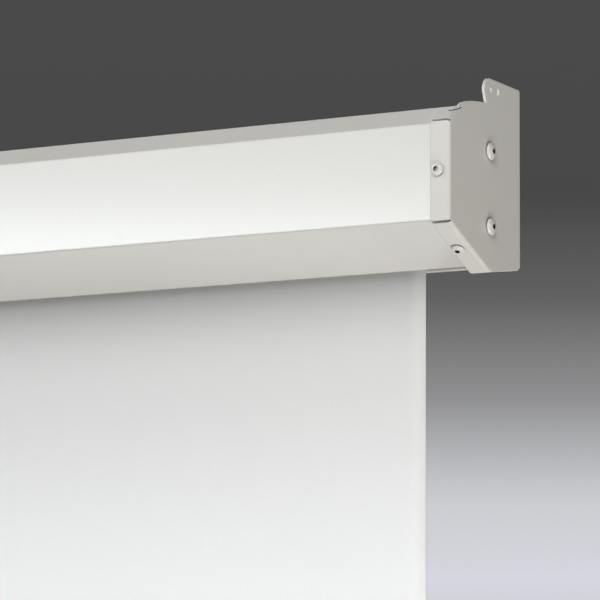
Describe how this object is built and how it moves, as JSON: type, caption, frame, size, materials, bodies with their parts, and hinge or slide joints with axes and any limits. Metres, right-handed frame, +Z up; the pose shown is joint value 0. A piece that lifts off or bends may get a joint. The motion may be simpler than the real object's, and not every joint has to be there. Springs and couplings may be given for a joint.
{
  "type": "motorized projector screen",
  "caption": "Wall-hung motorized projection screen: folded white steel case with bent end caps, hidden tubular motor and roller, white fabric with weighted batten.",
  "frame": {"origin": "on the wall plane, halfway between the two wall screw holes in the end caps' rear flanges", "axes": "+X along the case towards the free end, +Y into the wall, +Z up; the screen is seen from -Y"},
  "size_m": [1.6482, 0.1173, 1.6939],
  "materials": {
    "white_powder_coat": "fine textured powder coat, satin",
    "painted_screw": "smooth satin paint",
    "zinc_plate": "zinc plated",
    "bright_steel": "plain",
    "grey_plastic": "moulded, matte",
    "black_plastic": "moulded, matte",
    "white_plastic": "moulded, matte",
    "aluminium_parts": "die cast",
    "brass_parts": "turned",
    "matte_white_fabric": "matte white screen fabric"
  },
  "bodies": {
    "case": {"case_shell": "white_powder_coat", "right_end_cap": "white_powder_coat", "left_end_cap": "white_powder_coat", "right_front_screw": "painted_screw", "right_front_nut": "zinc_plate", "right_lower_screw": "painted_screw", "right_lower_nut": "zinc_plate", "right_bracket_upper_screw": "painted_screw", "right_bracket_upper_nut": "zinc_plate", "right_bracket_bottom_screw": "painted_screw", "right_bracket_bottom_nut": "zinc_plate", "left_front_screw": "painted_screw", "left_front_nut": "zinc_plate", "left_lower_screw": "painted_screw", "left_lower_nut": "zinc_plate", "left_bracket_upper_screw": "painted_screw", "left_bracket_upper_nut": "zinc_plate", "left_bracket_bottom_screw": "painted_screw", "left_bracket_bottom_nut": "zinc_plate", "idler_bracket": "zinc_plate", "idler_pin": "zinc_plate", "motor_bracket": "zinc_plate", "motor_head": "grey_plastic", "motor_clip": "bright_steel", "motor_tube": "bright_steel", "limit_screw_up": "brass_parts", "limit_screw_down": "brass_parts", "limit_switch_unit": "black_plastic", "capacitor": "aluminium_parts", "motor_core": "aluminium_parts", "motor_brake": "black_plastic", "gearbox": "aluminium_parts", "junction_box": "zinc_plate", "junction_box_cover": "zinc_plate", "cover_screw_outer": "bright_steel", "cover_screw_inner": "bright_steel", "box_screw_outer": "bright_steel", "box_screw_inner": "bright_steel", "ground_screw": "brass_parts", "terminal_block": "white_plastic", "cable_bush": "black_plastic", "knockout_plug": "black_plastic", "motor_cable": "black_plastic", "screen_fabric": "matte_white_fabric"},
    "roller": {"roller_tube": "zinc_plate", "fabric_wraps": "matte_white_fabric", "idler_bearing": "brass_parts", "idler_end_plug": "grey_plastic", "limit_crown": "grey_plastic", "drive_crown": "grey_plastic", "output_shaft": "bright_steel", "crown_clip": "bright_steel"},
    "batten": {"batten_hem": "matte_white_fabric", "batten_tube": "bright_steel", "right_batten_cap": "white_plastic", "left_batten_cap": "white_plastic"}
  },
  "joints": [
    {"name": "roller_spin", "type": "hinge", "parent": "case", "child": "roller", "pos_m": [0, -0.06675, -0.072], "axis": [1, 0, 0], "range_deg": [0, 3622]},
    {"name": "batten_slide", "type": "slide", "parent": "case", "child": "batten", "axis": [0, 0, 1], "range_m": [0, 1.531], "deforming": ["screen_fabric"]}
  ],
  "couplings": [
    {"joint": "batten_slide", "follows": "roller_spin", "m_per_rad": 0.024216}
  ]
}
